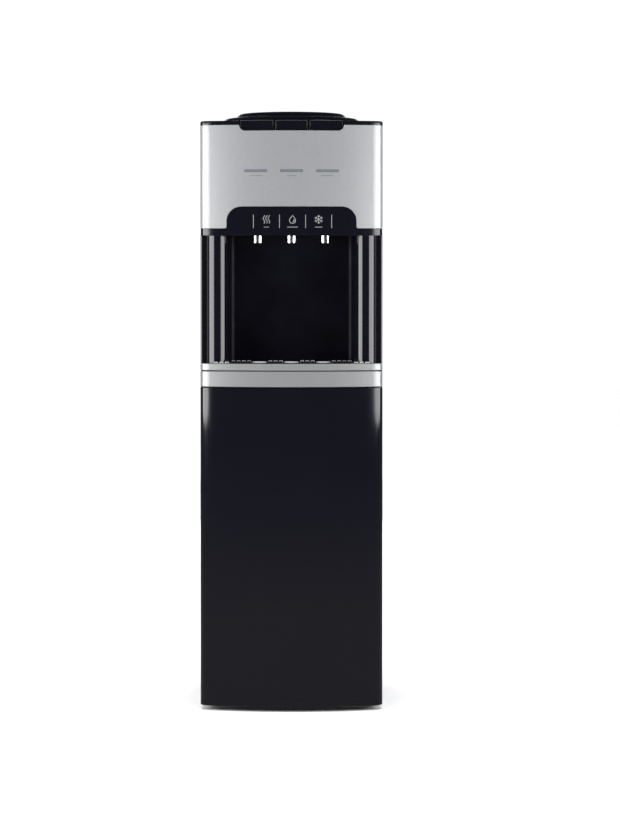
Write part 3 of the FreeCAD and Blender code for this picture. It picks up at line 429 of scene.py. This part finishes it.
def ribbon(shape, points, width, inset, thick=0.15 * MM, closed=False):
    """A raised line of even width through points (x, z), laid on the bowed front."""
    count = len(points)
    rings = []
    for index, point in enumerate(points):
        before = points[(index - 1) % count] if closed or index else point
        after = points[(index + 1) % count] if closed or index < count - 1 else point
        along = (Vector(after) - Vector(before)).normalized()
        across = Vector((-along.y, along.x)) * width / 2
        left, right = Vector(point) + across, Vector(point) - across
        rings.append([shape.verts.new((p.x, bow_y(p.x, inset) - out, p.y))
                      for p, out in ((left, -thick), (left, thick),
                                     (right, thick), (right, -thick))])
    for first, second in zip(rings, rings[1:]):
        stitch(shape, first, second)
    if closed:
        stitch(shape, rings[-1], rings[0])
    else:
        shape.faces.new(rings[0])
        shape.faces.new(rings[-1])


def bar(shape, x, z, half, width, inset, thick=0.15 * MM):
    """A level line that follows the bow, half its length to each side of x."""
    steps = [x + half * step / 3 for step in range(-3, 4)]
    ribbon(shape, [(step, z) for step in steps], width, inset, thick)


def fascia_marks(shape):
    """Four dividers, waves for hot, a drop for room and a flake for cold."""
    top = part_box("control_fascia")[1].z
    divider_foot, divider_height = top - 36.3 * MM, 22.6 * MM
    middle = top - 21.4 * MM
    for place in (-1.5, -0.5, 0.5, 1.5):
        x = place * SYMBOL_SPACING + PRINT_SHIFT
        ribbon(shape, [(x, divider_foot), (x, divider_foot + divider_height)], 1.1 * MM,
               FASCIA_INSET)
    for offset in (-4.2 * MM, 0, 4.2 * MM):
        wave_mark(shape, offset - SYMBOL_SPACING + PRINT_SHIFT, middle)
    drop_mark(shape, PRINT_SHIFT, middle - 0.6 * MM, 5.1 * MM)
    flake_mark(shape, SYMBOL_SPACING + PRINT_SHIFT, middle - 0.3 * MM, 7.4 * MM)


def fascia_bars(shape):
    """A plain bar under each symbol."""
    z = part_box("control_fascia")[1].z - 34.6 * MM
    for place, half in ((-1, 4.3 * MM), (0, 9.0 * MM), (1, 6.1 * MM)):
        bar(shape, place * SYMBOL_SPACING + PRINT_SHIFT, z, half, 1.7 * MM, FASCIA_INSET)


def wave_mark(shape, x, middle):
    """An upright wave of one and a quarter turns."""
    steps, rise, swing, turns = 16, 0.88 * MM, 1.4 * MM, 1.25
    wave = [(x + swing * math.sin(2 * math.pi * turns * step / steps),
             middle + (step - steps / 2) * rise) for step in range(steps + 1)]
    ribbon(shape, wave, 1.15 * MM, FASCIA_INSET)


def drop_mark(shape, x, z, radius):
    """Outline of a drop with a shorter curve inside its right side."""
    centre = z - 0.26 * radius
    tip = z + 1.34 * radius
    shoulder = math.radians(38)
    turn = math.pi + 2 * shoulder
    outline = arc(x, centre, radius, math.pi - shoulder, turn, 20)
    ribbon(shape, outline + [(x, tip)], 1.2 * MM, FASCIA_INSET, closed=True)
    inner = arc(x, centre, 0.5 * radius, math.radians(-80), math.radians(120), 10)
    ribbon(shape, inner, 1.6 * MM, FASCIA_INSET)


def arc(x, z, radius, start, turn, steps):
    """Points on a circle round (x, z), from the angle start over turn."""
    return [(x + radius * math.cos(start + turn * step / steps),
             z + radius * math.sin(start + turn * step / steps)) for step in range(steps + 1)]


def flake_mark(shape, x, z, reach):
    """Six arms, each with a pair of twigs."""
    centre = Vector((x, z))
    for arm in range(6):
        angle = math.radians(60 * arm + 90)
        out = Vector((math.cos(angle), math.sin(angle)))
        side = Vector((-out.y, out.x))
        ribbon(shape, [centre + out * 0.3 * MM, centre + out * reach], 1.1 * MM, FASCIA_INSET)
        fork = centre + out * reach * 0.52
        for way in (-1, 1):
            twig = fork + out * reach * 0.3 + side * way * reach * 0.3
            ribbon(shape, [fork, twig], 0.9 * MM, FASCIA_INSET)


def indicator_marks(shape):
    """A short plain bar under each window."""
    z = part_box("indicator_lenses")[0].z - 6.2 * MM
    spacing = 60.5 * MM
    for x, half in ((-spacing, 10.2 * MM), (0, 8.0 * MM), (spacing, 10.2 * MM)):
        bar(shape, x, z, half, 1.3 * MM, 0, 0.08 * MM)


def key_highlight_line(node):
    """Painted highlight: a fine light line along the top and sides of a key's face, standing for
    the light that its rounding catches.
    """
    low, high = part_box(node)
    inward, width, steps = 0.5 * MM, 0.5 * MM, 12
    foot = high.z - 11 * MM
    left, right, top = low.x + inward, high.x - inward, high.z - inward

    def build(shape):
        across = [left + (right - left) * step / steps for step in range(steps + 1)]
        ribbon(shape, [(x, top) for x in across], width, KEY_INSET)
        for x in (left, right):
            ribbon(shape, [(x, foot), (x, top)], width, KEY_INSET)

    return build


# ---------------------------------------------------------------- small parts

def block(shape, low, high):
    """An upright box between two corners."""
    low, high = Vector(low), Vector(high)
    for vertex in bmesh.ops.create_cube(shape, size=1)["verts"]:
        share = vertex.co + Vector((0.5, 0.5, 0.5))
        vertex.co = low + Vector(a * b for a, b in zip(share, high - low))


def turned(shape, centre, axis, profile, steps=48, closed=False):
    """A band made by turning (radius, height) points about an axis; closed makes a ring."""
    turn = Vector(axis).to_track_quat("Z", "Y").to_matrix()
    rings = []
    for radius, height in profile:
        rings.append([shape.verts.new(Vector(centre) + turn @ Vector((
            radius * math.cos(2 * math.pi * step / steps),
            radius * math.sin(2 * math.pi * step / steps), height))) for step in range(steps)])
    for first, second in zip(rings, rings[1:]):
        stitch(shape, first, second)
    if closed:
        stitch(shape, rings[-1], rings[0])
    return rings


def loose_boxes(node):
    """Corners of each separate solid in a CAD node."""
    shape = bmesh.new()
    welded(shape, node)
    waiting = set(shape.verts)
    boxes = []
    while waiting:
        front = [waiting.pop()]
        found = []
        while front:
            vertex = front.pop()
            found.append(vertex.co.copy())
            for edge in vertex.link_edges:
                other = edge.other_vert(vertex)
                if other in waiting:
                    waiting.remove(other)
                    front.append(other)
        boxes.append((Vector(min(p[i] for p in found) for i in range(3)),
                      Vector(max(p[i] for p in found) for i in range(3))))
    shape.free()
    return sorted(boxes, key=lambda box: tuple(box[0]))


def grille_ribs(shape):
    """Small arches along the grille's rear edge and a target ring under each tap."""
    low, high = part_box("drip_grille")
    base = high.z - 0.3 * MM
    pitch, last, last_at_rear = 9.15 * MM, 14, 11
    rear = high.y - 1.2 * MM
    wing_rear = low.y + 20.5 * MM      # the grille is shallower beyond the alcove's columns
    for index in range(-last, last + 1):
        if abs(index) > last_at_rear:
            arch(shape, index * pitch, wing_rear, base)
        elif min(abs(index - target) for target in TARGETS) > 1:
            arch(shape, index * pitch, rear, base)
    for target in TARGETS:
        medallion(shape, target * pitch, (wing_rear + rear) / 2, base)


def arch(shape, x, y, base):
    """Two short legs under a bar, standing across the plate."""
    half, thick, top = 3.1 * MM, 1.3 * MM, base + 2.6 * MM
    block(shape, (x - half, y - thick / 2, top - thick), (x + half, y + thick / 2, top))
    for side in (-1, 1):
        inner, outer = sorted((side * (half - thick), side * half))
        block(shape, (x + inner, y - thick / 2, base), (x + outer, y + thick / 2, top - thick))


def medallion(shape, x, y, base):
    """A ring with a cross of ribs and a small hub."""
    top = 1.9 * MM
    rib_start, rib_end, rib_half = 4.0 * MM, 10.9 * MM, 0.7 * MM
    for radius, thick in ((11.4 * MM, 1.4 * MM), (3.6 * MM, 1.2 * MM)):
        inner, outer = radius - thick / 2, radius + thick / 2
        turned(shape, (x, y, base), (0, 0, 1),
               [(inner, 0), (outer, 0), (outer, top), (inner, top)], closed=True)
    for quarter in range(4):
        angle = math.radians(45 + 90 * quarter)
        out = Vector((math.cos(angle), math.sin(angle), 0))
        foot = [Vector((x, y, base)) + p for p in rib_outline(out, rib_start, rib_end, rib_half)]
        prism(shape, foot, [p + Vector((0, 0, top)) for p in foot])


def rib_outline(out, start, end, half, up=Vector((0, 0, 1))):
    """Corners of a flat rib from start to end along out, half its width to each side."""
    across = up.cross(out) * half
    return [out * start - across, out * end - across, out * end + across, out * start + across]


def screw_heads(shape):
    """Pan heads with a cross recess, standing on the sheets as the CAD's screws do."""
    for low, high in loose_boxes("panel_screws"):
        radius = (high.x - low.x) / 2
        height = high.y - low.y
        centre = Vector(((low.x + high.x) / 2, low.y, (low.z + high.z) / 2))
        rings = turned(shape, centre, (0, 1, 0), [
            (radius, 0), (radius, 0.35 * height), (0.93 * radius, 0.65 * height),
            (0.78 * radius, 0.87 * height), (0.62 * radius, height)], steps=32)
        shape.faces.new(rings[0])
        cross_recess(shape, rings[-1], centre, radius, height)


def cross_recess(shape, rim, centre, radius, height):
    """Closes a screw's top with a flat that has a cross sunk into it."""
    arm, half, taper, depth = 0.46 * radius, 0.11 * radius, 0.8, 0.7
    outline = [(arm, half), (half, half), (half, arm), (-half, arm), (-half, half), (-arm, half),
               (-arm, -half), (-half, -half), (-half, -arm), (half, -arm), (half, -half),
               (arm, -half)]
    edge = [shape.verts.new(centre + Vector((x, height, z))) for x, z in outline]
    foot = [shape.verts.new(centre + Vector((taper * x, (1 - depth) * height, taper * z)))
            for x, z in outline]
    stitch(shape, edge, foot)
    shape.faces.new(foot)
    loops = [shape.edges.get((ring[a], ring[(a + 1) % len(ring)]))
             for ring in (rim, edge) for a in range(len(ring))]
    bmesh.ops.triangle_fill(shape, edges=loops, use_beauty=True)


def dial_ticks(shape):
    """Raised ticks round the thermostat knob, longer towards cold."""
    low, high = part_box("thermostat_knob")
    centre = Vector(((low.x + high.x) / 2, 0, (low.z + high.z) / 2))
    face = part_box("rear_panel")[1].y
    foot, top = face - 0.1 * MM, face + 0.25 * MM
    start, end, growth, half = 17 * MM, 19.5 * MM, 0.35 * MM, 0.6 * MM
    for step in range(10):
        angle = math.radians(-45 + 30 * step)
        out = Vector((math.cos(angle), 0, math.sin(angle)))
        corners = [centre + p for p in rib_outline(out, start, end + growth * step, half,
                                                   Vector((0, -1, 0)))]
        prism(shape, [(p.x, foot, p.z) for p in corners], [(p.x, top, p.z) for p in corners])


def compressor_seam(shape):
    """Rolled weld bead round the compressor's waist."""
    low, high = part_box("compressor")
    centre = ((low.x + high.x) / 2, (low.y + high.y) / 2, low.z + 74 * MM)
    radius = 55 * MM
    bead = [(radius - 1 * MM, -3 * MM), (radius + 0.9 * MM, -2.4 * MM),
            (radius + 1.6 * MM, -1 * MM), (radius + 1.6 * MM, 1 * MM),
            (radius + 0.9 * MM, 2.4 * MM), (radius - 1 * MM, 3 * MM)]
    turned(shape, centre, (0, 0, 1), bead, steps=96, closed=True)


def key_spring(key):
    """A coil that stands in the cabinet, copied from the CAD node with smooth shading."""
    node = key + "_spring"
    piece = new_piece(node + "_wire", lambda shape: welded(shape, node), None, SLOT_OF[node])
    piece.data.polygons.foreach_set("use_smooth", [True] * len(piece.data.polygons))
    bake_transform(piece)
    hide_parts(node)


def satin_and_shade_inside(piece):
    """Gives the alcove's flat walls a satin finish and painted shade, a darker and less reflective
    black than the polished moulding; its columns stay polished.
    """
    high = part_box("alcove_liner")[1]
    half_width, front = high.x - 45.3 * MM, high.y - 69.6 * MM
    piece.data.materials.append(SATIN_SHADED_BLACK)
    for face in piece.data.polygons:
        if abs(face.center.x) < half_width and face.center.y > front:
            face.material_index = 1


# ---------------------------------------------------------------- staging

def light(name, place, aim, size, radiance):
    """A soft panel whose brightness is given as radiance, whatever its size."""
    data = bpy.data.lights.new(name, "AREA")
    data.shape = "RECTANGLE"
    data.size, data.size_y = size
    data.energy = radiance * math.pi * size[0] * size[1]
    lamp = bpy.data.objects.new(name, data)
    lamp.location = place
    lamp.rotation_euler = (Vector(aim) - Vector(place)).to_track_quat("-Z", "Y").to_euler()
    bpy.context.scene.collection.objects.link(lamp)
    return lamp


def strip(name, side, radiance):
    """Tall soft panel beside the object; it draws the upright highlights on the corners."""
    near, far = Vector((side * 1.15, -1.64)), Vector((side * 2.0, 0.05))
    low, high = 0.40, 1.11
    middle, height = (near + far) / 2, (low + high) / 2
    light(name, (middle.x, middle.y, height), (0, 0, height),
          ((far - near).length, high - low), radiance)


def lamps():
    """Two strips beside the object, a weak fill behind it and an even light from above."""
    strip("strip_left", -1, 8.0)
    strip("strip_right", 1, 7.0)
    behind = light("fill_behind", (0, 3.2, 1.1), (0, 0, 0.6), (3.4, 2.0), 1.3)
    behind.visible_camera = False
    overhead = bpy.data.lights.new("overhead", "SUN")
    overhead.energy = 3.2
    overhead.angle = math.radians(70)
    lamp = bpy.data.objects.new("overhead", overhead)
    lamp.visible_glossy = False
    bpy.context.scene.collection.objects.link(lamp)


def surroundings():
    """White backdrop; reflections see a dim bluish room that is paler low down."""
    world = bpy.data.worlds.new("studio")
    bpy.context.scene.world = world
    world.use_nodes = True
    tree = world.node_tree
    room = tree.nodes["Background"]
    room.inputs["Strength"].default_value = 1
    direction = tree.nodes.new("ShaderNodeTexCoord")
    parts = tree.nodes.new("ShaderNodeSeparateXYZ")
    below = tree.nodes.new("ShaderNodeMapRange")
    # The paler part starts just below the horizon and is full a little lower.
    below.inputs["From Min"].default_value = -0.075
    below.inputs["From Max"].default_value = -0.13
    tint = tree.nodes.new("ShaderNodeMix")
    tint.data_type = "RGBA"
    tint.inputs[MIX_FIRST].default_value = (0.078, 0.083, 0.10, 1)
    tint.inputs[MIX_LAST].default_value = (0.27, 0.265, 0.24, 1)
    backdrop = tree.nodes.new("ShaderNodeBackground")
    backdrop.inputs["Color"].default_value = (1, 1, 1, 1)
    backdrop.inputs["Strength"].default_value = 1.05
    path = tree.nodes.new("ShaderNodeLightPath")
    blend = tree.nodes.new("ShaderNodeMixShader")
    for output, socket in (
            (direction.outputs["Generated"], parts.inputs["Vector"]),
            (parts.outputs["Z"], below.inputs["Value"]),
            (below.outputs["Result"], tint.inputs[MIX_FACTOR]),
            (tint.outputs[MIX_COLOUR], room.inputs["Color"]),
            (path.outputs["Is Camera Ray"], blend.inputs["Fac"]),
            (room.outputs["Background"], blend.inputs[1]),
            (backdrop.outputs["Background"], blend.inputs[2]),
            (blend.outputs["Shader"], tree.nodes["World Output"].inputs["Surface"])):
        tree.links.new(output, socket)


def floor():
    """Pale matt floor, just under the feet and wide enough to hide its edge."""
    half = 12.0
    shape = bmesh.new()
    bmesh.ops.create_grid(shape, x_segments=8, y_segments=8, size=half)
    mesh = bpy.data.meshes.new("floor")
    shape.to_mesh(mesh)
    shape.free()
    ground = bpy.data.objects.new("floor", mesh)
    ground.location.z = -0.2 * MM
    ground.visible_glossy = False
    bpy.context.scene.collection.objects.link(ground)
    made = Finish("floor_paint").set(Specular_IOR_Level=0.1)
    made.colour(made.noise(3, 4), 0.3, 0.7, grey(0.965), grey(0.98))
    made.roughness(made.noise(20, 3), 0.3, 0.7, 0.7, 0.8)
    mesh.materials.append(made.material)


def camera():
    """At the photograph's height and distance, looking slightly down."""
    distance, height, tilt = 4.675, 0.745, math.radians(1.54)
    data = bpy.data.cameras.new("camera")
    data.sensor_width = 36
    data.lens = 117.5
    data.shift_x = 0.0226
    data.shift_y = -0.080
    eye = bpy.data.objects.new("camera", data)
    eye.location = (0, -distance, height)
    eye.rotation_euler = (math.radians(90) - tilt, 0, 0)
    bpy.context.scene.collection.objects.link(eye)
    bpy.context.scene.camera = eye


# ---------------------------------------------------------------- assembly

for name, piece in NODES.items():
    paint(piece, MATERIALS[SLOT_OF[name]])

shells = {name: refined(name, width * MM) for name, width in REFINED.items()}
satin_and_shade_inside(shells["alcove_liner"])
for name in ("drip_tray", "lower_band"):
    paint(shells[name], SHADED_SILVER)       # painted shade: the same silver paint, darker on these two pieces

new_piece("fascia_marks", fascia_marks, "cabinet", "white_plastic", PRINT)
new_piece("fascia_bars", fascia_bars, "cabinet", "white_plastic", DIM_PRINT)
new_piece("indicator_marks", indicator_marks, "cabinet", "white_plastic", GREY_PRINT)
for key in ("hot_key", "room_key", "cold_key"):
    key_spring(key)
    # Painted highlight along the top and sides of each key.
    new_piece(key + "_edge", key_highlight_line(key), key, "black_gloss", PAINTED_EDGE_HIGHLIGHT)
# The ribs take painted highlight: near-white for the light their tops catch.
soften(new_piece("grille_ribs", grille_ribs, "drip_grille", "silver_plastic", RIB_PAINTED_HIGHLIGHT),
       0.25 * MM)
heads = new_piece("screw_heads", screw_heads, "cabinet", "screw_steel")
soften(heads, 0.12 * MM)
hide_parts("panel_screws")
soften(new_piece("dial_ticks", dial_ticks, "cabinet", "white_plastic", PRINT), 0.08 * MM)
soften(new_piece("compressor_seam", compressor_seam, BODY_OF["compressor"], "black_steel"),
       0.3 * MM)

camera()
lamps()
surroundings()
floor()
bpy.context.scene.view_settings.view_transform = "Standard"
